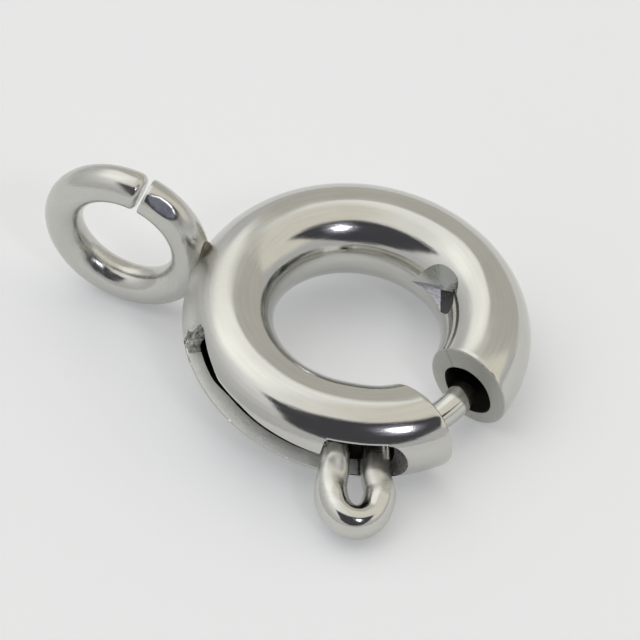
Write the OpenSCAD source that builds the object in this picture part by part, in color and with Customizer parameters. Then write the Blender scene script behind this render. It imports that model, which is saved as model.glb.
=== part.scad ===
// Spring ring clasp, 6 mm across: a hollow ring with a gap, a sprung wire tongue and a soldered eye.
// Millimetres. Z is up from the table it lies on, +X runs from the eye to the main ring.
// The origin is the centre of the main ring, which leans a little because the eye props it up.

/* [Main ring] */
// Outer diameter of the hollow main ring
ring_od = 6.0; // [5.96:0.02:6.1]
// Diameter of the tube that the main ring is bent from
tube_d = 1.56; // [1.55:0.005:1.58]
// Diameter of the bore in the tube
bore_d = 0.98; // [0.97:0.005:1.0]
// How far the bore sits below the middle of the tube
bore_drop = 0.08; // [0.07:0.01:0.08]

/* [Gap] */
// Direction of the end face of the arm with the trigger
near_face_dir = 338; // [337:0.5:339]
// Distance of that face from the ring's centre, to the side of the trigger
near_face_off = 0.652; // [0.62:0.01:0.68]
// Direction of the end face of the other arm
far_face_dir = 345.5; // [345:0.5:347]
// Distance of that face from the ring's centre
far_face_off = 0.282; // [0.26:0.01:0.3]

/* [Slot] */
// Height of the slot that the trigger slides in
slot_h = 0.56; // [0.56:0.005:0.58]
// Angle of the centre of the slot's rounded end
slot_from = 223; // [221:0.5:224]
// Angle at which the wide opening for the trigger starts
opening_from = 280; // [279:0.5:280.5]
// Angle of the centre of the opening's rounded end
opening_to = 303.7; // [303.5:0.1:304.5]
// Height of the opening's upper lip above the middle of the ring
opening_top = 0.4; // [0.38:0.01:0.42]
// Diameter of the opening's rounded end
opening_end_d = 0.86; // [0.84:0.01:0.88]

/* [Wire] */
// Diameter of the wire of the tongue and trigger
wire_d = 0.51; // [0.5:0.005:0.515]
// Radius of the tongue's curve
wire_r = 2.165; // [2.15:0.005:2.18]
// Height at which the wire's plane crosses the ring's axis
wire_z = -0.102; // [-0.11:0.002:-0.095]
// Tilt of the plane that the wire and the slot share
wire_tilt = 6.28; // [6:0.04:6.4]
// Angle of the tongue's tip at rest
tip_at = 354; // [352.5:0.25:355]
// Angle at which the tongue lifts out of the wire's plane
tongue_fold = 318; // [317:0.5:319]
// Angle by which it lifts there
tongue_lift = 6; // [5.8:0.1:6.2]
// Angle of the end that the spring pushes on
stub_at = 268; // [266:0.5:269]

/* [Trigger] */
// Angle of the trigger's middle line
trigger_at = 293.8; // [293:0.1:294]
// Distance of each leg from that line where it leaves the slot
leg_side = 0.335; // [0.33:0.005:0.34]
// Bend radius between a leg and the curved wire
leg_bend = 0.4; // [0.39:0.01:0.42]
// Radius of the loop's middle line
loop_r = 0.4; // [0.39:0.005:0.41]
// Thickness of the wire at the loop
loop_wire_d = 0.6; // [0.58:0.01:0.62]
// Distance of the loop's centre from the middle of the ring
loop_at = 3.69; // [3.65:0.01:3.72]

/* [Eye] */
// Hole of the eye
eye_hole_d = 1.73; // [1.7:0.01:1.76]
// Wire of the eye
eye_wire_d = 0.66; // [0.64:0.01:0.68]
// Distance between the centres of the eye and the main ring
eye_reach = 4.336; // [4.32:0.004:4.352]
// Angle of the saw cut in the eye
eye_cut_at = 80.5; // [78:0.5:83]
// Width of the saw cut, as an angle
eye_cut_w = 3; // [2.5:0.5:5]
// Depth of the pressed flat beside the cut
eye_flat = 0.024; // [0.02:0.002:0.03]
// Diameter of the solder bead between the eye and the main ring
bead_d = 0.74; // [0.7:0.01:0.76]

/* [Stop] */
// Angle of the punched stop in the far arm
stop_at = 54.5; // [53:0.5:56]
// Place of the stop round the tube
stop_round = 148; // [146:1:150]
// Depth of the punch mark
stop_depth = 0.34; // [0.32:0.01:0.36]
// Thickness of the metal pushed in below the punch mark
stop_skin = 0.2; // [0.18:0.01:0.22]
// Width of the open seam
seam_w = 0.07; // [0.06:0.005:0.09]
// Place of the seam round the tube
seam_round = 137; // [135:0.5:139]

/* [Spring] */
// Outer diameter of the coil
spring_d = 0.86; // [0.84:0.01:0.87]
// Thickness of the spring's wire
spring_wire_d = 0.14; // [0.12:0.01:0.15]
// Number of turns
spring_turns = 24; // [20:1:26]
// Angle at which the coil starts, against the stop
spring_from = 70; // [69:0.5:72]

/* [Hidden] */
tube_r = tube_d / 2;
ring_r = (ring_od - tube_d) / 2;
eye_r = (eye_hole_d + eye_wire_d) / 2;
lean = asin((eye_r + eye_wire_d / 2 - tube_r) / (eye_reach + ring_r));
bend_y = sqrt((wire_r + leg_bend) ^ 2 - (leg_side + leg_bend) ^ 2);
bend_a = atan((leg_side + leg_bend) / bend_y);
neck = ring_r + tube_r - 0.05;
slot_in = ring_r + 0.1;
$fn = 48;

// Turns what is drawn flat round the ring's axis into the pose at rest.
module at_rest() {
    rotate([0, lean, 0]) children();
}

// A round bar bent to a radius between two angles.
module bent_bar(radius, d, from, to, drop = 0) {
    rotate([0, 0, from])
        rotate_extrude(angle = to - from)
            translate([radius, -drop]) circle(d = d);
}

// The frame of what lies beyond a fold: turned about the radius at that angle.
module fold_frame(at, fold) {
    rotate([0, 0, at]) rotate([fold, 0, 0]) rotate([0, 0, -at]) children();
}

// A small block whose near or far face is the mitre plane of a fold.
module mitre(at, fold, side) {
    rotate([0, 0, at]) rotate([fold / 2, 0, 0]) translate([1.2, side, -1]) cube([2, 0.6, 2]);
}

// A bent bar with one fold in it, mitred there.
module folded_bar(radius, d, from, to, at, fold) {
    difference() {
        bent_bar(radius, d, from, at + 6);
        mitre(at, fold, 0);
    }
    difference() {
        fold_frame(at, fold) bent_bar(radius, d, at - 6, to);
        mitre(at, fold, -0.6);
    }
}

// The gap between the two end faces.
module gap_cut() {
    intersection() {
        rotate([0, 0, near_face_dir]) translate([0.5, -near_face_off, -2]) cube([4, 3, 4]);
        rotate([0, 0, far_face_dir]) translate([0.5, far_face_off - 3, -2]) cube([4, 3, 4]);
    }
}

// The plane that the wire lies in and the slot follows.
module wire_frame() {
    translate([0, 0, wire_z]) rotate([0, wire_tilt, 0]) children();
}

// The slot, the wide opening at the trigger and its rounded end.
module slot_cut() {
    wire_frame() {
        rotate([0, 0, slot_from])
            rotate_extrude(angle = opening_to - slot_from)
                translate([slot_in, -slot_h / 2]) square([tube_r + 0.3, slot_h]);
        rotate([0, 0, slot_from]) translate([slot_in, 0, 0])
            rotate([0, 90, 0]) cylinder(d = slot_h, h = tube_r + 0.3);
    }
    rotate([0, 0, opening_from])
        rotate_extrude(angle = opening_to - opening_from)
            translate([slot_in, -0.3]) square([tube_r + 0.3, opening_top + 0.3]);
    rotate([0, 0, opening_to]) translate([slot_in, 0, opening_top - opening_end_d / 2])
        rotate([0, 90, 0]) cylinder(d = opening_end_d, h = tube_r + 0.3);
}

// A cube standing on its corner, the corner pointing at the middle of the tube.
module punch(depth) {
    rotate([0, 0, stop_at]) translate([ring_r, 0, 0]) rotate([0, -stop_round, 0])
        translate([tube_r - depth, 0, 0]) rotate([180, 0, 0])
            rotate([0, 35.264, 0]) rotate([0, 0, -45]) cube(1.2);
}

// The open seam from the end face to the stop.
module seam_cut() {
    rotate([0, 0, -13])
        rotate_extrude(angle = stop_at)
            translate([ring_r, 0]) rotate(seam_round)
                translate([0.3, -seam_w / 2]) square([0.6, seam_w]);
}

// The eye, standing across the main ring, with its saw cut and pressed flat.
module eye() {
    translate([-eye_reach, 0, 0]) rotate([90, 0, 0])
        difference() {
            bent_bar(eye_r, eye_wire_d, eye_cut_at + eye_cut_w / 2, eye_cut_at - eye_cut_w / 2 + 360);
            rotate([0, 0, 64.5]) translate([eye_r, 0, 0]) rotate([0, -39, 0])
                translate([eye_wire_d / 2 - eye_flat, -0.4, -0.3]) cube([0.2, 0.8, 0.6]);
        }
}

// Main ring, eye and solder bead: one solid.
module housing() {
    color([0.78, 0.78, 0.76]) at_rest() difference() {
        union() {
            difference() {
                union() {
                    bent_bar(ring_r, tube_d, -13, 331);
                    translate([-(eye_reach - eye_r - 0.12), 0, 0]) sphere(d = bead_d);
                }
                bent_bar(ring_r, bore_d, -14, 332, bore_drop);
            }
            intersection() {
                bent_bar(ring_r, bore_d + 0.1, 38, 70, bore_drop);
                punch(stop_depth + stop_skin);
            }
            eye();
        }
        gap_cut();
        slot_cut();
        punch(stop_depth);
        seam_cut();
    }
}

// One leg of the trigger with the bend that leads into the curved wire.
module leg() {
    translate([bend_y, leg_side, 0]) rotate([0, 90, 0]) cylinder(d = wire_d, h = neck - 0.02 - bend_y);
    translate([bend_y, leg_side + leg_bend, 0]) rotate([0, 0, 182 + bend_a])
        rotate_extrude(angle = 88 - bend_a) translate([leg_bend, 0]) circle(d = wire_d);
    rotate([0, 0, bend_a]) translate([wire_r, 0, 0])
        rotate([90, 0, 0]) sphere(d = wire_d + 0.02);
    translate([neck, leg_side, 0])
        rotate([0, 0, atan((loop_r - leg_side) / (loop_at - neck))])
            rotate([0, 90, 0])
                cylinder(d1 = wire_d, d2 = loop_wire_d, h = norm([loop_at - neck, loop_r - leg_side]) - 0.03);
    translate([neck, leg_side, 0]) rotate([0, 90, 0]) sphere(d = wire_d + 0.01);
    translate([loop_at, loop_r, 0]) rotate([0, 90, 0]) sphere(d = loop_wire_d + 0.02);
}

// Tongue, trigger loop and stub: one bent wire.
module tongue() {
    color([0.8, 0.79, 0.76]) at_rest() wire_frame() rotate([0, 0, trigger_at]) {
        translate([loop_at, 0, 0]) rotate([0, 0, -87])
            rotate_extrude(angle = 174) translate([loop_r, 0]) circle(d = loop_wire_d);
        leg();
        folded_bar(wire_r, wire_d, bend_a + 0.4, tip_at - trigger_at, tongue_fold - trigger_at, tongue_lift);
        mirror([0, 1, 0]) {
            leg();
            bent_bar(wire_r, wire_d, bend_a + 0.4, trigger_at - stub_at);
        }
    }
}

// Points of one ring of the coil's section, a fraction t along the spring.
function coil_ring(t) =
    let (
        span = stub_at - 1 - spring_from,
        a = spring_from + 1 + t * (span - 1),
        w = 360 * spring_turns * t,
        coil_r = (spring_d - spring_wire_d) / 2
    )
    [for (k = [0:5])
        let (
            u = coil_r + spring_wire_d / 2 * cos(60 * k),
            v = spring_wire_d / 2 * sin(60 * k),
            rho = ring_r + u * cos(w),
            z = -bore_drop + u * sin(w)
        )
        [rho * cos(a) - v * sin(a), rho * sin(a) + v * cos(a), z]];

// Coil spring between the stub and the stop.
module spring() {
    steps = spring_turns * 14;
    points = [for (i = [0:steps]) each coil_ring(i / steps)];
    sides = [for (i = [0:steps - 1]) for (k = [0:5])
        [i * 6 + k, i * 6 + (k + 1) % 6, (i + 1) * 6 + (k + 1) % 6, (i + 1) * 6 + k]];
    first = [for (k = [5:-1:0]) k];
    last = [for (k = [0:5]) steps * 6 + k];
    color([0.72, 0.71, 0.68]) at_rest() polyhedron(points, concat([first], sides, [last]));
}

housing();
tongue();
spring();
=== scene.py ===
import bpy
from mathutils import Matrix, Vector, noise
from math import asin, atan2, cos, degrees, dist, exp, pi, radians, sin, sqrt, tan


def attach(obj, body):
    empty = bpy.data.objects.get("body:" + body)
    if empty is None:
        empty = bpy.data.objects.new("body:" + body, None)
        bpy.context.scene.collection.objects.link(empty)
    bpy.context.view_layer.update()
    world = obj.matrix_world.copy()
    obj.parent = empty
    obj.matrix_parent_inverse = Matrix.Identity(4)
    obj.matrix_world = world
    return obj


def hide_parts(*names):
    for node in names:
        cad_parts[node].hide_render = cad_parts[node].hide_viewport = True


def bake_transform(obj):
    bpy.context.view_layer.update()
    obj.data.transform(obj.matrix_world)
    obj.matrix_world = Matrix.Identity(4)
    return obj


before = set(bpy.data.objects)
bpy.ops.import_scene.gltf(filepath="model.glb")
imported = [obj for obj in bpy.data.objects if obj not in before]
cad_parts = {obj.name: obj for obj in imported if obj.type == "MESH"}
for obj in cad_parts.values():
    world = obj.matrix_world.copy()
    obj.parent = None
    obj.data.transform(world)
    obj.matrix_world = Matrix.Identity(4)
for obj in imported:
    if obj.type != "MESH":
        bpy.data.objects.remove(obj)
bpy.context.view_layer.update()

bpy.ops.object.select_all(action="DESELECT")

# Main ring. The real piece is a thin steel tube bent to a ring and sawn open for the gap. Before bending, a slot
# was cut along its outside for the trigger, and a three-sided punch pushed a stop into the far arm.
# It is drawn flat, in millimetres, and goes down to metres and into its leaning pose when it is done.
RING_R, TUBE_R = 2.22, 0.78                  # the circle in the middle of the tube, and the tube round it
BORE_R, BORE_DROP = 0.49, 0.08               # the bore, and how far it lies below the middle of the tube
LEAN = radians(6.525)                        # the eye props one side of the clasp up
WIRE_TILT, WIRE_Z = radians(6.28), -0.102    # the plane in which the wire of the tongue runs

# Places along the ring are in degrees from +X towards +Y.
FAR_MOUTH, NEAR_MOUTH = -7.2, 320.9
FAR_CUT, FAR_CUT_OFF = 345.5, 0.282          # the way each end face runs, and how far it passes from the axis
NEAR_CUT, NEAR_CUT_OFF = 338, 0.652
SLOT_FROM, OPENING_FROM, OPENING_TO = 217.2, 280.9, 302.9
SLOT_REACH, SLOT_HALF = 2.95, 0.275          # how far out the slot's height is measured, and half its width
OPENING_TOP, OPENING_LOW = 0.41, -0.48
START_BOW, END_BOW, BORE_BOW = 0.09, 0.36, 0.2   # how far the slot's two ends bow out, and the second in the bore
SAW_DRIFT = [(217, 0.13), (227, 0.08), (233, 0.045), (238, 0), (250, 0.02), (258, 0)]
PUNCH_AT = 54.5

# The mesh has this many rows round the tube. The slot ends at rows LIP_ROW up and down from the outermost
# one, and the seam runs between SEAM_ROW and the next.
ROWS, LIP_ROW, SEAM_ROW = 96, 7, 36
SEAM_AT, SEAM_TO = 137, 44.5                 # its angle round the tube, and where it ends along the ring


def smooth(x):
    """Rises gently from 0 to 1 as x does, and stays there."""
    x = min(max(x, 0.0), 1.0)
    return x * x * (3 - 2 * x)


def between(values, x):
    """Straight lines through (x, y) pairs."""
    for (x0, y0), (x1, y1) in zip(values, values[1:]):
        if x <= x1:
            return y0 + (y1 - y0) * max(x - x0, 0) / (x1 - x0)
    return values[-1][1]


def wire_height(a, rho):
    """Height of the tilted plane that the wire runs in."""
    return WIRE_Z - rho * cos(radians(a)) * tan(WIRE_TILT)


def upper_lip(a):
    slot = wire_height(a, SLOT_REACH) + SLOT_HALF + between(SAW_DRIFT, a)
    return slot + (OPENING_TOP - slot) * smooth(a - OPENING_FROM)


def lower_lip(a):
    slot = wire_height(a, SLOT_REACH) - SLOT_HALF
    return slot + (OPENING_LOW - slot) * smooth((a - 292) / 11)


# Where the sections stand along the ring: close together where an outline turns.
stations = [FAR_MOUTH, -4.9]
for end, spacing in ((36, 1.2), (74, 0.7), (206, 1.4), (211, 1.0), (223, 0.6), (280.2, 1.1), (281.6, 0.2),
                     (287, 0.6), (302.9, 1.02), (315.2, 0.6), (318.7, 1.1)):
    start = stations[-1]
    count = round((end - start) / spacing)
    stations += [start + (end - start) * (k + 1) / count for k in range(count)]
stations.append(NEAR_MOUTH)


def nearest_station(a):
    return min(range(len(stations)), key=lambda i: abs(stations[i] - a))


left_tip, right_tip, seam_end = nearest_station(SLOT_FROM), nearest_station(OPENING_TO), nearest_station(SEAM_TO)

bpy.ops.mesh.primitive_circle_add(vertices=ROWS, radius=TUBE_R, location=(RING_R, 0, 0), rotation=(pi / 2, 0, 0))
ring = bpy.context.object
ring.name = "main_ring"
bpy.ops.object.transform_apply()
bpy.ops.object.mode_set(mode="EDIT")
bpy.ops.mesh.select_all(action="SELECT")
bpy.ops.mesh.spin(steps=len(stations), angle=2 * pi, center=(0, 0, 0), axis=(0, 0, 1))
bpy.ops.mesh.select_all(action="SELECT")
bpy.ops.mesh.remove_doubles(threshold=0.001)
bpy.ops.mesh.normals_make_consistent(inside=False)
bpy.ops.object.mode_set(mode="OBJECT")

# Every vertex keeps the number of its station and row, also when the wall has got its thickness.
mesh = ring.data
for name in ("station", "row"):
    mesh.attributes.new(name, "INT", "POINT")
station, row = [], []
for v in mesh.vertices:
    x, y, z = v.co
    station.append(round(atan2(y, x) / (2 * pi) * len(stations)) % len(stations))
    row.append(round(atan2(z, sqrt(x * x + y * y) - RING_R) / (2 * pi) * ROWS) % ROWS)
mesh.attributes["station"].data.foreach_set("value", station)
mesh.attributes["row"].data.foreach_set("value", row)


def ring_point(i, j, radius, drop):
    """Where the vertex of station i and row j lies, on the outside or in the bore."""
    a = stations[i]
    j = j - ROWS if j > ROWS // 2 else j
    bore = radius < TUBE_R

    def turn(z):
        """The angle round the tube at which this radius reaches the height z."""
        return degrees(asin(max(-0.965, min(0.965, (z + drop) / radius))))

    def turned_from(centre):
        """How far phi is from that angle, without a jump at the underside."""
        return phi - centre if phi > -60 else phi + (360 - centre)

    # The rows that end at the slot follow its lips, and close round its two ends.
    at_slot = 1.0
    bulge = 0.0
    lip_a = min(max(a, SLOT_FROM), OPENING_TO)
    top, low = upper_lip(lip_a), lower_lip(lip_a)
    if i < left_tip:
        at_slot = 1 - min((left_tip - i) / 20, 1)
    if i > right_tip:
        at_slot = 1 - min((i - right_tip) / 20, 1)
    middle, half = (top + low) / 2, (top - low) / 2
    even = 360 / ROWS * LIP_ROW
    if abs(j) <= LIP_ROW:
        share = j / LIP_ROW
        phi = turn(middle + half * sin(share * pi / 2)) * at_slot + even * share * (1 - at_slot)
        if i <= left_tip:
            bulge = -degrees(START_BOW / (RING_R + TUBE_R)) * sqrt(1 - share ** 4) * at_slot
        if i >= right_tip:
            bow = BORE_BOW if bore else END_BOW
            bulge = degrees(bow / (RING_R + TUBE_R)) * cos(share * pi / 2) * at_slot
    else:
        edge, far = (turn(top) - even, j) if j > 0 else (turn(low) + even, -j)
        fade = 1 - (far - LIP_ROW) / (ROWS / 2 - LIP_ROW)
        phi = 360 / ROWS * j + edge * at_slot * fade ** 4

    # Four rows follow the seam of the far arm, which is a hair wider away from the mouth.
    seam = degrees((0.004 + 0.014 * smooth((a + 7) / 12)) / radius)
    beside = {SEAM_ROW - 1: -seam - 5, SEAM_ROW: -seam, SEAM_ROW + 1: seam, SEAM_ROW + 2: seam + 5}
    if j in beside:
        phi += (SEAM_AT + beside[j] - phi) * (1 - smooth((a - 45) / 20))
    a += bulge

    # The wall is a little thicker beside the slot and opposite it, and a little thinner before the slot.
    if bore:
        thicker = (0.075 * smooth((a - 228) / 12) - 0.03) * (1 - smooth((a - 290) / 10))
        radius -= thicker * max(0, cos(radians(phi + 18) * 2)) ** 2

    # The wall is drawn in round the punch mark, and under it a lump stands in the bore: the stop.
    away = (a - PUNCH_AT) * radians(1.7), radians(turned_from(140)) * TUBE_R
    radius -= 0.08 * exp(-(away[0] ** 2 + away[1] ** 2) / 0.42)
    if bore:
        along, round_tube = (a - PUNCH_AT) * radians(RING_R) / 0.4, radians(turned_from(148)) * radius / 0.34
        reach = along ** 2 + round_tube ** 2
        radius -= 0.32 * exp(-reach * reach)

    # The arm with the trigger runs out a little straighter than the circle.
    centre = RING_R * (1 + 0.033 * smooth((a - 285) / 36))
    rho = centre + radius * cos(radians(phi))

    # The end faces are flat cuts.
    far_end = FAR_CUT + degrees(asin(FAR_CUT_OFF / rho)) - 360
    near_end = NEAR_CUT - degrees(asin(NEAR_CUT_OFF / rho))
    if a < 40:
        a += (far_end - FAR_MOUTH) * (1 - smooth((a - FAR_MOUTH) / 40))
    if a > 270:
        shift = near_end - NEAR_MOUTH
        a += shift * (smooth((a - 272) / 48.9) if shift < 0 else smooth((a - 312) / 8.9))
    x = radians(a)
    return rho * cos(x), rho * sin(x), radius * sin(radians(phi)) - drop


for v in mesh.vertices:
    v.co = ring_point(station[v.index], row[v.index], TUBE_R, 0)

# The saw left a torn patch above the start of the slot.
torn_at, TORN_R = Vector((-2.4, -1.74, 0.17)), 0.3
for v in mesh.vertices:
    near = 1 - smooth((v.co - torn_at).length / TORN_R)
    if near > 0:
        v.co *= 1 + 0.035 * near * noise.fractal(v.co * 8, 0.6, 2.0, 3)


def open_face(poly):
    """True for a face in the gap, the slot or the seam."""
    at = sorted({station[k] for k in poly.vertices})
    rows = sorted({row[k] for k in poly.vertices})
    gap = at[0] == 0 and at[-1] == len(stations) - 1
    slot = left_tip <= at[0] and at[-1] <= right_tip and all(min(r, ROWS - r) <= LIP_ROW for r in rows)
    seam = at[-1] <= seam_end and rows == [SEAM_ROW, SEAM_ROW + 1]
    return gap or slot or seam


def pick(obj):
    """Selects this object alone."""
    bpy.ops.object.select_all(action="DESELECT")
    obj.select_set(True)
    bpy.context.view_layer.objects.active = obj


def pick_faces(obj, wanted):
    """Selects the faces of a mesh for which wanted is true, and opens it for editing."""
    pick(obj)
    chosen = [bool(wanted(p)) for p in obj.data.polygons]
    bpy.ops.object.mode_set(mode="EDIT")
    bpy.ops.mesh.select_mode(type="FACE")
    bpy.ops.mesh.select_all(action="DESELECT")
    bpy.ops.object.mode_set(mode="OBJECT")
    obj.data.polygons.foreach_set("select", chosen)
    bpy.ops.object.mode_set(mode="EDIT")


pick_faces(ring, open_face)
bpy.ops.mesh.delete(type="FACE")
bpy.ops.object.mode_set(mode="OBJECT")


def finish_with(obj, kind, **settings):
    """Adds a modifier with these settings and applies it."""
    bpy.context.view_layer.objects.active = obj
    modifier = obj.modifiers.new(kind.lower(), kind)
    for name, value in settings.items():
        setattr(modifier, name, value)
    bpy.ops.object.modifier_apply(modifier=modifier.name)


def add_node(tree, kind, *values, operation=None):
    """Adds a node whose first inputs hold these values or come from these sockets."""
    node = tree.nodes.new(kind)
    if operation:
        node.operation = operation
    for socket, value in zip(node.inputs, values):
        if hasattr(value, "is_output"):
            tree.links.new(value, socket)
        elif value is not None:
            socket.default_value = value
    return node


def steel(name, colour, rough, centre=(0, 0, 0), turn=(0, 0, 0), streaks=1.0, pits=0.0, worked=None,
          metal=1.0, grain_size=26.0, dull=None):
    """Polished steel with fine streaks round a ring's axis, faint scratches and uneven gloss.

    centre and turn bring the axis of the piece to Z, in millimetres.
    worked is (from, to, more): it is rougher by more between these distances from the axis.
    dull is (centre, radius, more): it is rougher by more round this point."""
    mat = bpy.data.materials.new(name)
    mat.use_nodes = True
    tree = mat.node_tree
    link = tree.links.new
    shader = tree.nodes["Principled BSDF"]
    shader.inputs["Metallic"].default_value = metal

    def maths(operation, a, b=None):
        return add_node(tree, "ShaderNodeMath", a, b, operation=operation).outputs[0]

    def pattern(vector, scale, detail, harshness=0.5):
        node = add_node(tree, "ShaderNodeTexNoise", vector)
        node.inputs["Scale"].default_value = scale
        node.inputs["Detail"].default_value = detail
        node.inputs["Roughness"].default_value = harshness
        return node.outputs["Fac"]

    def spread(value, low, high, start=0.3, end=0.7):
        """Goes from low to high as value goes from start to end."""
        return add_node(tree, "ShaderNodeMapRange", value, start, end, low, high).outputs["Result"]

    coords = tree.nodes.new("ShaderNodeTexCoord")
    place = tree.nodes.new("ShaderNodeMapping")
    place.inputs["Location"].default_value = centre
    place.inputs["Rotation"].default_value = turn
    place.inputs["Scale"].default_value = (1000, 1000, 1000)
    link(coords.outputs["Object"], place.inputs["Vector"])
    split = add_node(tree, "ShaderNodeSeparateXYZ", place.outputs["Vector"])
    x, y, z = split.outputs

    # The streaks are a pattern drawn out ten to twenty times round the axis.
    rho = maths("SQRT", maths("ADD", maths("POWER", x, 2.0), maths("POWER", y, 2.0)))
    along = maths("MULTIPLY", maths("ARCTAN2", y, x), 1.6)
    lines = add_node(tree, "ShaderNodeCombineXYZ", along, maths("MULTIPLY", rho, 16.0), maths("MULTIPLY", z, 16.0))
    streak = pattern(lines.outputs["Vector"], 1.0, 4.0, 0.6)
    cloud = pattern(place.outputs["Vector"], 0.9, 4.0, 0.6)
    grain = pattern(place.outputs["Vector"], grain_size, 5.0, 0.65)
    wave = pattern(place.outputs["Vector"], 0.8, 1.0)

    # Its colour is a little darker in clouds and streaks.
    tone = add_node(tree, "ShaderNodeValToRGB", maths("MULTIPLY", maths("ADD", cloud, streak), 0.5))
    darker, full = tone.color_ramp.elements
    darker.position, full.position = 0.32, 0.68
    darker.color = (*[c * 0.88 for c in colour], 1)
    full.color = (*colour, 1)
    link(tone.outputs["Color"], shader.inputs["Base Color"])

    gloss = maths("ADD", spread(cloud, rough * 0.75, rough * 1.25), spread(streak, -0.05 * streaks, 0.06 * streaks))
    gloss = maths("ADD", gloss, spread(grain, -0.015, 0.02))
    if worked:
        begins, ends, more = worked
        band = maths("MULTIPLY", spread(rho, 0.0, 1.0, begins, begins + 0.25),
                     spread(rho, 1.0, 0.0, ends - 0.3, ends))
        gloss = maths("ADD", gloss, maths("MULTIPLY", band, more))
    if dull:
        middle, radius, more = dull
        away = add_node(tree, "ShaderNodeVectorMath", place.outputs["Vector"], middle, operation="DISTANCE")
        gloss = maths("ADD", gloss, spread(away.outputs["Value"], more, 0.0, 0.4 * radius, radius))
    link(maths("MAXIMUM", gloss, 0.04), shader.inputs["Roughness"])

    # Heights are in millimetres.
    bump = tree.nodes.new("ShaderNodeBump")
    bump.inputs["Strength"].default_value = 1.0
    bump.inputs["Distance"].default_value = 0.001
    height = maths("ADD", maths("MULTIPLY", streak, 0.0014 * streaks), maths("MULTIPLY", grain, 0.0006 + 0.02 * pits))
    link(maths("ADD", height, maths("MULTIPLY", wave, 0.012)), bump.inputs["Height"])
    link(bump.outputs["Normal"], shader.inputs["Normal"])
    return mat


unlean = (0, -LEAN, 0)
finishes = [
    ("polished_tube", (0.64, 0.636, 0.6), 0.095, {"dull": ((-2.9, -0.8, 0), 1.5, 0.3)}),
    ("bore", (0.2, 0.19, 0.17), 0.5, {"pits": 0.3}),
    ("sawn_steel", (0.6, 0.6, 0.56), 0.4, {"streaks": 3, "pits": 0.5, "metal": 0.6}),
    ("struck_steel", (0.54, 0.55, 0.52), 0.15, {"streaks": 1.5, "pits": 0.04}),
    # The cut faces along the slot are matte; their near-white colour is painted light.
    ("slot_face_painted_light", (0.95, 0.95, 0.91), 0.5, {"streaks": 3, "pits": 0.8, "metal": 0.1, "grain_size": 16}),
    ("torn_steel", (0.7, 0.7, 0.66), 0.14, {"streaks": 2, "pits": 5.5, "grain_size": 6}),
    # One facet of the punch mark is painted a brighter violet: a painted reflection.
    ("struck_painted_reflection", (0.62, 0.61, 0.72), 0.12, {"streaks": 1.5, "pits": 1.2, "grain_size": 16}),
    # The faces at the end of the opening are rough, and also painted dark: painted shade.
    ("rough_end_painted_shade", (0.3, 0.29, 0.28), 0.3, {"streaks": 5, "pits": 3.0, "metal": 0.9, "grain_size": 15}),
    # The deepest facet of the punch mark is painted near black: painted shade.
    ("struck_painted_shade", (0.1, 0.1, 0.095), 0.3, {"pits": 0.3}),
]
POLISHED, BORE, SAWN, STRUCK, SLOT_FACE_PAINTED_LIGHT, TORN, STRUCK_PAINTED_REFLECTION, ROUGH_END_PAINTED_SHADE, STRUCK_PAINTED_SHADE = range(len(finishes))
for name, colour, rough, settings in finishes:
    mesh.materials.append(steel(name, colour, rough, turn=unlean, **settings))

# The sheet gets its wall, and the inner side of it becomes the bore, a little narrower at the far mouth.
finish_with(ring, "SOLIDIFY", thickness=TUBE_R - BORE_R, offset=-1, use_rim=True,
            material_offset=BORE - POLISHED, material_offset_rim=SAWN - POLISHED)
station = [d.value for d in mesh.attributes["station"].data]
row = [d.value for d in mesh.attributes["row"].data]
inside = []
for v in mesh.vertices:
    i, j = station[v.index], row[v.index]
    inside.append(dist(v.co, ring_point(i, j, TUBE_R, 0)) > 0.05)
    if inside[-1]:
        at_mouth = 1 - smooth((stations[i] - 5) / 20)
        v.co = ring_point(i, j, BORE_R - 0.03 * at_mouth, BORE_DROP + 0.02 * at_mouth)

# The torn patch gets its finish, and so do the faces across the wall: matte and near white along the slot,
# which is painted light, torn at its start, and rough and painted dark at the end of the opening, which is painted
# shade. The mouths and all but the end of the seam stay as sawn.
SAWN_TO, ROUGH_SHADED_FROM = 40, 294                # the seam's last sawn station, and a place along the ring
crossings = {}
for p in mesh.polygons:
    at = [station[k] for k in p.vertices]
    walls = {inside[k] for k in p.vertices}
    across = len(walls) == 2
    if walls == {False} and (p.center - torn_at).length < 0.15 + 0.06 * noise.noise(p.center * 9):
        p.material_index = TORN
    if across and SAWN_TO < min(at) and max(at) < len(stations) - 1:
        p.material_index = TORN if max(at) <= left_tip + 1 else SLOT_FACE_PAINTED_LIGHT
        # Past here the faces are rough and painted dark, a painted shade.
        if stations[min(at)] > ROUGH_SHADED_FROM:
            p.material_index = ROUGH_END_PAINTED_SHADE
    for key in p.edge_keys:
        crossings.setdefault(key, []).append(across)

# Rims are eased by tumbling: more at the mouths and the lower lip than inside.
mesh.attributes.new("bevel_weight_edge", "FLOAT", "EDGE")
weights = mesh.attributes["bevel_weight_edge"].data
for e in mesh.edges:
    if sorted(crossings.get(e.key, [])) != [False, True]:
        continue
    at, rows = {station[k] for k in e.vertices}, {row[k] for k in e.vertices}
    within = inside[e.vertices[0]]
    if at in ({0}, {len(stations) - 1}):
        weights[e.index].value = 0.35 if within else 0.9
    elif rows <= {SEAM_ROW, SEAM_ROW + 1}:
        weights[e.index].value = 0.2 if within else 0.85
    elif within:
        weights[e.index].value = 0.25
    else:
        weights[e.index].value = 1.0 if min(rows) > ROWS // 2 else 0.4
finish_with(ring, "BEVEL", limit_method="WEIGHT", width=0.05, segments=3, use_clamp_overlap=False,
            loop_slide=True, miter_outer="MITER_SHARP")


def on_tube(a, phi, depth=0):
    """The point at these angles along and round the tube, so deep below its surface."""
    rho = RING_R + (TUBE_R - depth) * cos(radians(phi))
    return Vector((rho * cos(radians(a)), rho * sin(radians(a)), (TUBE_R - depth) * sin(radians(phi))))


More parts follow.
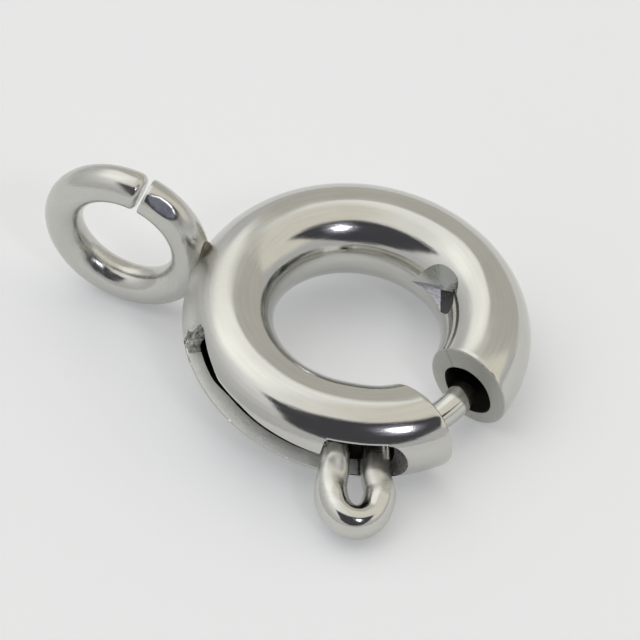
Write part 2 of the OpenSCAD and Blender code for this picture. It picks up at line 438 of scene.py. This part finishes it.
# The punch mark: a hollow slope under a rounded edge and flat facets opposite, down to one deepest point. It is
# cut by a cone with that point as its tip. Its corners lie on the outline of the mark, the rounded edge drawn
# as a smooth curve through five of them, and are then moved out so that the cone stands clear of the tube.
deepest = on_tube(56, 173, 0.27)
CLEAR = 2.0
rounded_edge = [(71.8, 179), (67.8, 144), (60.5, 124.5), (47.5, 119.5), (38.5, 130)]
guides = rounded_edge[:1] + rounded_edge + rounded_edge[-1:]
corners = []
for before, start, end, after in zip(guides, guides[1:], guides[2:], guides[3:]):
    for t in (0, 0.25, 0.5, 0.75):
        corners.append([0.5 * (2 * b + (c - a) * t + (2 * a - 5 * b + 4 * c - d) * t * t
                               + (3 * b - a - 3 * c + d) * t ** 3)
                        for a, b, c, d in zip(before, start, end, after)])
corners += [(38.5, 130), (38.3, 171)]
bpy.ops.mesh.primitive_cone_add(vertices=len(corners), radius1=1, depth=1)
punch = bpy.context.object
for v, corner in zip(punch.data.vertices, corners):
    v.co = deepest + CLEAR * (on_tube(*corner, 0.03) - deepest)
punch.data.vertices[len(corners)].co = deepest
final = len(corners) - 1
# The facet between the last two corners is painted near black, a painted shade.
# The facet from the first corner to the last is painted violet, a painted reflection.
for p in punch.data.polygons:
    facet = tuple(sorted(p.vertices))[:2]
    p.material_index = {(final - 1, final): STRUCK_PAINTED_SHADE, (0, final): STRUCK_PAINTED_REFLECTION}.get(facet, STRUCK)
pick_faces(punch, lambda p: True)
bpy.ops.mesh.normals_make_consistent(inside=False)
bpy.ops.object.mode_set(mode="OBJECT")
finish_with(ring, "BOOLEAN", operation="DIFFERENCE", object=punch, solver="EXACT")
bpy.data.objects.remove(punch)


def lay_down(obj, sharp=35):
    """Brings a finished piece from millimetres, drawn flat, to metres and its pose at rest."""
    obj.data.transform(Matrix.Scale(0.001, 4) @ Matrix.Rotation(LEAN, 4, "Y"))
    pick(obj)
    bpy.ops.object.shade_smooth_by_angle(angle=radians(sharp))


lay_down(ring, 24)
# The edges of the punch mark and of its facets stay crisp.
finishes_at = {}
for p in mesh.polygons:
    for key in p.edge_keys:
        finishes_at.setdefault(key, set()).add(p.material_index)
crisp = mesh.attributes.get("sharp_edge") or mesh.attributes.new("sharp_edge", "BOOLEAN", "EDGE")
for e in mesh.edges:
    if finishes_at[e.key] & {STRUCK, STRUCK_PAINTED_REFLECTION, STRUCK_PAINTED_SHADE} and len(finishes_at[e.key]) > 1:
        crisp.data[e.index].value = True
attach(ring, "housing")
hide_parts("housing")

# Eye. The real piece is a ring of round steel wire, closed by hand, with its saw cut left open. Pliers pressed
# a flat beside the cut, and a spot of solder holds it across the main ring.
EYE_R, EYE_WIRE_R = 1.195, 0.33
EYE_REACH = 4.336                            # from the middle of the main ring to the middle of the eye
CUT_AT, CUT_WIDE = 80.5, 3.6                 # in degrees round the eye
FLAT_AT, FLAT_SIDE, FLAT_DEEP = radians(64.5), radians(39), 0.024
CREASE_FROM, CREASE_TO = 26, 54
EYE_STEPS, WIRE_STEPS = 240, 72

bpy.ops.mesh.primitive_torus_add(major_segments=EYE_STEPS, minor_segments=WIRE_STEPS,
                                 major_radius=EYE_R, minor_radius=EYE_WIRE_R)
eye = bpy.context.object
eye.name = "eye"
for v in eye.data.vertices:
    i, j = divmod(v.index, WIRE_STEPS)
    phi = 2 * pi * j / WIRE_STEPS
    share = i / (EYE_STEPS - 1)
    a = radians(CUT_AT + CUT_WIDE / 2 + (360 - CUT_WIDE) * share)
    nipped = {0: 0.78, 1: 0.9, 2: 0.97, EYE_STEPS - 1: 0.94}.get(i, 1)   # thinner at its two cut ends
    rho = EYE_R + EYE_WIRE_R * nipped * cos(phi)
    v.co = (rho * cos(a), rho * sin(a), EYE_WIRE_R * nipped * sin(phi))

# The faces across the cut go, and each end of the wire is closed.
pick_faces(eye, lambda p: {k // WIRE_STEPS for k in p.vertices} == {0, EYE_STEPS - 1})
bpy.ops.mesh.delete(type="FACE")
bpy.ops.mesh.select_mode(type="EDGE")
bpy.ops.mesh.select_all(action="DESELECT")
bpy.ops.mesh.select_non_manifold()
bpy.ops.mesh.fill_holes(sides=0)
bpy.ops.object.mode_set(mode="OBJECT")

# The flat that the pliers pressed.
out = Vector((cos(FLAT_AT) * cos(FLAT_SIDE), sin(FLAT_AT) * cos(FLAT_SIDE), sin(FLAT_SIDE)))
root = Vector((EYE_R * cos(FLAT_AT), EYE_R * sin(FLAT_AT), 0))
for v in eye.data.vertices:
    high = (v.co - root).dot(out)
    if high > EYE_WIRE_R - FLAT_DEEP and (v.co - root).length < 0.6:
        v.co -= out * (high - (EYE_WIRE_R - FLAT_DEEP))

# They also left two faint creases from the flat towards the solder.
for v in eye.data.vertices:
    at = degrees(atan2(v.co.y, v.co.x))
    if CREASE_FROM < at < CREASE_TO:
        axis = Vector((EYE_R * cos(radians(at)), EYE_R * sin(radians(at)), 0))
        arm = v.co - axis
        turned = degrees(atan2(arm.z, arm.dot(axis.normalized())))
        along = smooth((at - CREASE_FROM) / 8) * (1 - smooth((at - (CREASE_TO - 6)) / 6))
        for first, slant, deep in ((62, 0.9, 0.005), (40, 0.5, 0.004)):
            crease = first - slant * (at - 30)
            off = radians(turned - crease) * EYE_WIRE_R / 0.035
            v.co -= arm * (deep / EYE_WIRE_R) * along * exp(-off * off) * (1 + 0.6 * noise.noise(v.co * 15))
eye.data.transform(Matrix.Translation((-EYE_REACH, 0, 0)) @ Matrix.Rotation(pi / 2, 4, "X"))

eye.data.materials.append(steel("eye_wire", (0.63, 0.626, 0.59), 0.19, streaks=2,
                                centre=(EYE_REACH, 0, 0), turn=(pi / 2, 0, 0)))
eye.data.materials.append(steel("pressed_steel", (0.6, 0.61, 0.64), 0.26, turn=unlean, streaks=0.4))
pressed = Matrix.Rotation(pi / 2, 3, "X") @ out
for p in eye.data.polygons:
    if p.normal.dot(pressed) > 0.9995 and p.center.z > 0.5:
        p.material_index = 1
finish_with(eye, "BEVEL", limit_method="ANGLE", angle_limit=radians(50), width=0.045, segments=3)
lay_down(eye)
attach(eye, "housing")
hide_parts("housing")

# Solder. The real piece is a bead of silver solder, a little yellow from the flame; its dark tone is painted shade
# of the crevice. It was melted in place and drew into the crevice between the eye and the tube, which it fills from
# above to below.
SOLDER_R, SOLDER_AT = 0.29, -2.9

bpy.ops.mesh.primitive_uv_sphere_add(segments=64, ring_count=40, radius=SOLDER_R)
solder = bpy.context.object
solder.name = "solder"
# It is thin from eye to tube, and tall.
for v in solder.data.vertices:
    v.co = (v.co.x * 0.42 + SOLDER_AT, v.co.y * 0.85, v.co.z * 2.0)
finish_with(solder, "SUBSURF", levels=1, render_levels=1)
# Yellow for the flame's tint, and dark as painted shade of the crevice.
solder.data.materials.append(steel("solder", (0.23, 0.205, 0.165), 0.36, streaks=0.3, pits=0.5))
lay_down(solder)
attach(solder, "housing")
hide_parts("housing")

# Tongue and trigger. The real piece is one length of hard steel wire: a stub that the spring pushes, out through
# the slot, round in a loop pinched together as the trigger, back in, and along the tube across the gap.
# Pincers cut its tip. It is drawn in its own plane, with +X through the middle of the trigger.
TRIGGER_AT, STUB_FROM, TIP_AT = 293.8, 268, 354   # along the ring
RISES_FROM, RISE = 316, 0.134                     # from here the wire climbs, so far at its tip
WIRE_R, ARC_R = 0.25, 2.165
BEND, LEG_Y, LEGS_TO = 0.4, 0.33, 2.95            # the bend out of the tube, and the straight leg after it
LOOP_AT, LOOP_LONG, LOOP_HALF = 3.3, 0.6, 0.42
bend_x = sqrt((ARC_R + BEND) ** 2 - (LEG_Y + BEND) ** 2)
bend_a = degrees(atan2(LEG_Y + BEND, bend_x))


def arc(cx, cy, r, start, end, count):
    """Points on a flat arc round (cx, cy), from start to end in degrees."""
    turns = [radians(start + (end - start) * k / count) for k in range(count + 1)]
    return [(cx + r * cos(b), cy + r * sin(b), 0) for b in turns]


half = arc(bend_x, LEG_Y + BEND, BEND, 180 + bend_a, 270, 14)
half += [(bend_x + (LEGS_TO - bend_x) * k / 8, LEG_Y, 0) for k in range(1, 9)]
half += [(LEGS_TO + (LOOP_AT - LEGS_TO) * k / 8, LEG_Y + (LOOP_HALF - LEG_Y) * smooth(k / 8), 0)
         for k in range(1, 9)]
half += [(LOOP_AT + LOOP_LONG * sin(radians(5 * k)), LOOP_HALF * cos(radians(5 * k)), 0) for k in range(1, 19)]
path = [(x, -y, z) for x, y, z in half] + half[-2::-1]
path = arc(0, 0, ARC_R, STUB_FROM - TRIGGER_AT, -bend_a, 14)[:-1] + path
for k in range(1, 61):
    b = bend_a + (TIP_AT - TRIGGER_AT - bend_a) * k / 60
    past = max(b - (RISES_FROM - TRIGGER_AT), 0) / (TIP_AT - RISES_FROM)
    path.append((ARC_R * cos(radians(b)), ARC_R * sin(radians(b)), RISE * past ** 1.3))


def bend_wire(name, path, radii, fineness):
    """A round wire along this path, as a mesh with closed ends."""
    curve = bpy.data.curves.new(name, "CURVE")
    curve.dimensions = "3D"
    curve.bevel_depth = 1.0
    curve.bevel_resolution = fineness
    curve.use_fill_caps = True
    spline = curve.splines.new("POLY")
    spline.points.add(len(path) - 1)
    for point, place, radius in zip(spline.points, path, radii):
        point.co = (*place, 1)
        point.radius = radius
    wire = bpy.data.objects.new(name, curve)
    bpy.context.collection.objects.link(wire)
    pick(wire)
    bpy.ops.object.convert(target="MESH")
    return bpy.context.object


tongue = bend_wire("tongue", path, [WIRE_R + 0.035 * smooth((x - LEGS_TO) / 0.5) for x, y, z in path], 10)

# Bending draws the wire of the loop tall, and it hangs below the plane of the rest. The pliers that pinched it
# together pressed its legs flat on top, sloping outwards, and pushed the left one out and up.
for v in tongue.data.vertices:
    x, left = v.co.x, v.co.y < 0
    if x <= 2.5:
        continue
    if left:
        v.co.y -= 0.055 * smooth((x - 2.5) / 0.15) * (1 - smooth((x - 2.9) / 0.4))
    v.co.z = v.co.z * (1 + 0.14 * smooth((x - 3.1) / 0.5)) - 0.16 * smooth((x - 2.9) / 0.8)
    press = smooth((x - 2.55) / 0.2) * (1 - smooth((x - 3.1) / 0.4)) * (1 + 0.3 * noise.noise(v.co * 6))
    v.co.z -= 0.45 * press * max(v.co.z - (WIRE_R - 0.24 * (x - 2.72)), 0)
    if left:
        v.co.z += 0.1 * smooth((x - 2.5) / 0.15) * (1 - smooth((x - 2.8) / 0.35))
tongue.data.transform(Matrix.Translation((0, 0, WIRE_Z)) @ Matrix.Rotation(WIRE_TILT, 4, "Y")
                      @ Matrix.Rotation(radians(TRIGGER_AT), 4, "Z"))
tongue.data.materials.append(steel("tongue_wire", (0.66, 0.656, 0.62), 0.08, turn=unlean, worked=(2.55, 3.6, 0.24)))
lay_down(tongue)
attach(tongue, "tongue")
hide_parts("tongue")

# Spring. The real piece is a coil of thin spring wire, wound on a rod and cut to length. It was slid into the
# tube and isn't fastened: it lies between the stop and the stub of the tongue, which it pushes shut.
COIL_R, COIL_WIRE_R = 0.36, 0.07
TURNS, TURN_STEPS = 24, 24
COIL_FROM, COIL_LONG = 71, 195               # along the ring

count = TURNS * TURN_STEPS
path = []
for k in range(count + 1):
    a = radians(COIL_FROM + COIL_LONG * k / count)
    w = 2 * pi * TURNS * k / count
    rho = RING_R + COIL_R * cos(w)
    path.append((rho * cos(a), rho * sin(a), -BORE_DROP + COIL_R * sin(w)))
coil = bend_wire("spring", path, [COIL_WIRE_R] * len(path), 2)
coil.data.materials.append(steel("spring_wire", (0.3, 0.29, 0.27), 0.35, turn=unlean))
lay_down(coil, 60)
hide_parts("spring")
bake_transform(coil)

# Table, light and camera. The clasp lies on a sheet of plain pale paper inside a light tent of white cloth, lit
# from outside and open towards the camera. Neither is part of the clasp.
TABLE_TOP = -0.0010323

bpy.ops.mesh.primitive_plane_add(size=2, location=(0, 0, TABLE_TOP))
table = bpy.context.object
table.name = "table"
table.data.transform(table.matrix_world)
table.matrix_world = Matrix.Identity(4)
paper = bpy.data.materials.new("table_top")
paper.use_nodes = True
for socket, value in (("Base Color", (0.79, 0.797, 0.815, 1)), ("Emission Color", (0.97, 0.985, 1.0, 1)),
                      ("Emission Strength", 0.19), ("Roughness", 0.6)):
    paper.node_tree.nodes["Principled BSDF"].inputs[socket].default_value = value
table.data.materials.append(paper)

world = bpy.data.worlds.new("tent")
bpy.context.scene.world = world
world.use_nodes = True
tent = world.node_tree
look = tent.nodes.new("ShaderNodeTexCoord").outputs["Generated"]


def towards(az, el):
    """Unit vector for an angle from +X towards +Y and a height above the table."""
    a, e = radians(az), radians(el)
    return Vector((cos(a) * cos(e), sin(a) * cos(e), sin(e)))


def side(vector):
    """How far the light's direction goes along this vector, from -1 to 1."""
    return add_node(tent, "ShaderNodeVectorMath", look, tuple(vector), operation="DOT_PRODUCT").outputs["Value"]


def step(value, start, end):
    """1 where value is past end, 0 before start."""
    node = add_node(tent, "ShaderNodeMapRange", value, start, end, 0.0, 1.0)
    node.interpolation_type = "SMOOTHSTEP"
    return node.outputs["Result"]


def number(operation, a, b=None):
    return add_node(tent, "ShaderNodeMath", a, b, operation=operation).outputs[0]


def paint(where, under, colour):
    """The light of the tent with this colour laid over it."""
    node = tent.nodes.new("ShaderNodeMix")
    node.data_type = "RGBA"
    tent.links.new(where, node.inputs["Factor"])
    tent.links.new(under, node.inputs["A"])
    node.inputs["B"].default_value = (*colour, 1)
    return node.outputs["Result"]


# The cloth is brightest near its top: places on the ramp run from straight down, 0, to straight up, 1.
height = side((0, 0, 1))
ramp = add_node(tent, "ShaderNodeValToRGB",
                add_node(tent, "ShaderNodeMapRange", height, -1.0, 1.0).outputs["Result"])
levels = [(0.0, 0.45), (0.5, 0.58), (0.671, 0.64), (0.75, 0.74), (0.821, 0.87), (0.883, 1.0), (0.933, 1.14),
          (0.97, 1.18), (1.0, 1.05)]
while len(ramp.color_ramp.elements) < len(levels):
    ramp.color_ramp.elements.new(0.5)
for element, (position, level) in zip(ramp.color_ramp.elements, levels):
    element.position, element.color = position, (level, level, level, 1)
light = ramp.outputs["Color"]

# Round these directions the cloth is brighter, warmer or darker, each with a soft edge.
for az, el, edge, core, colour in ((165, 62, 0.9, 1.0, (1.4, 1.4, 1.34)),
                                   (128, 50, 0.91, 1.0, (1.25, 1.25, 1.19)),
                                   (-30, 62, 0.7, 0.95, (1.0, 0.985, 0.93)),
                                   (24, 50, 0.76, 0.85, (0.9, 0.87, 0.785)),
                                   (85, 18, 0.78, 0.84, (0.6, 0.59, 0.54))):
    light = paint(step(side(towards(az, el)), edge, core), light, colour)

# The opening towards the camera is dark and round, with a flat upper edge and a flat left one.
middle = towards(-68, 42)
across = Vector((0, 0, 1)).cross(middle).normalized()
rise = middle.cross(across)
disc = number("ADD", number("POWER", number("ADD", side(across), -0.08), 2.0),
              number("POWER", number("ADD", side(rise), -0.22), 2.0))
dark = number("MULTIPLY", step(disc, 0.57, 0.52), step(side(rise), 0.48, 0.38))
dark = number("MULTIPLY", dark, step(side(middle), 0.0, 0.1))
dark = number("MULTIPLY", dark, step(side(across), -0.56, -0.5))
light = paint(dark, light, (0.075, 0.075, 0.085))

# One small bright lamp with a dim glow round it stands in the opening.
lamp = towards(-33, 44)
light = paint(step(side(lamp), 0.965, 1.0), light, (0.45, 0.44, 0.56))
light = paint(step(side(lamp), 0.9945, 0.9975), light, (9.0, 9.0, 9.4))
tent.links.new(light, tent.nodes["Background"].inputs["Color"])
tent.nodes["Background"].inputs["Strength"].default_value = 1.0

# The camera looks down at 48 degrees through a long lens, and aims a little to the left of the middle of the
# main ring and above it.
CAMERA_AWAY = 0.133
bpy.context.scene.view_settings.view_transform = "Standard"
to_camera = Vector((0.2663, -0.6139, 0.7431)).normalized()
right = Vector((0.9174, 0.398, 0)).normalized()
up = to_camera.cross(right)
aim = 0.001 * (-0.628 * right + 0.130 * up)
camera = bpy.data.objects.new("camera", bpy.data.cameras.new("camera"))
bpy.context.collection.objects.link(camera)
bpy.context.scene.camera = camera
camera.matrix_world = (Matrix.Translation(aim + CAMERA_AWAY * to_camera)
                       @ Matrix((right, up, to_camera)).transposed().to_4x4())
camera.data.lens = 437
camera.data.sensor_width = 36
camera.data.clip_start = 0.01
camera.data.clip_end = 20
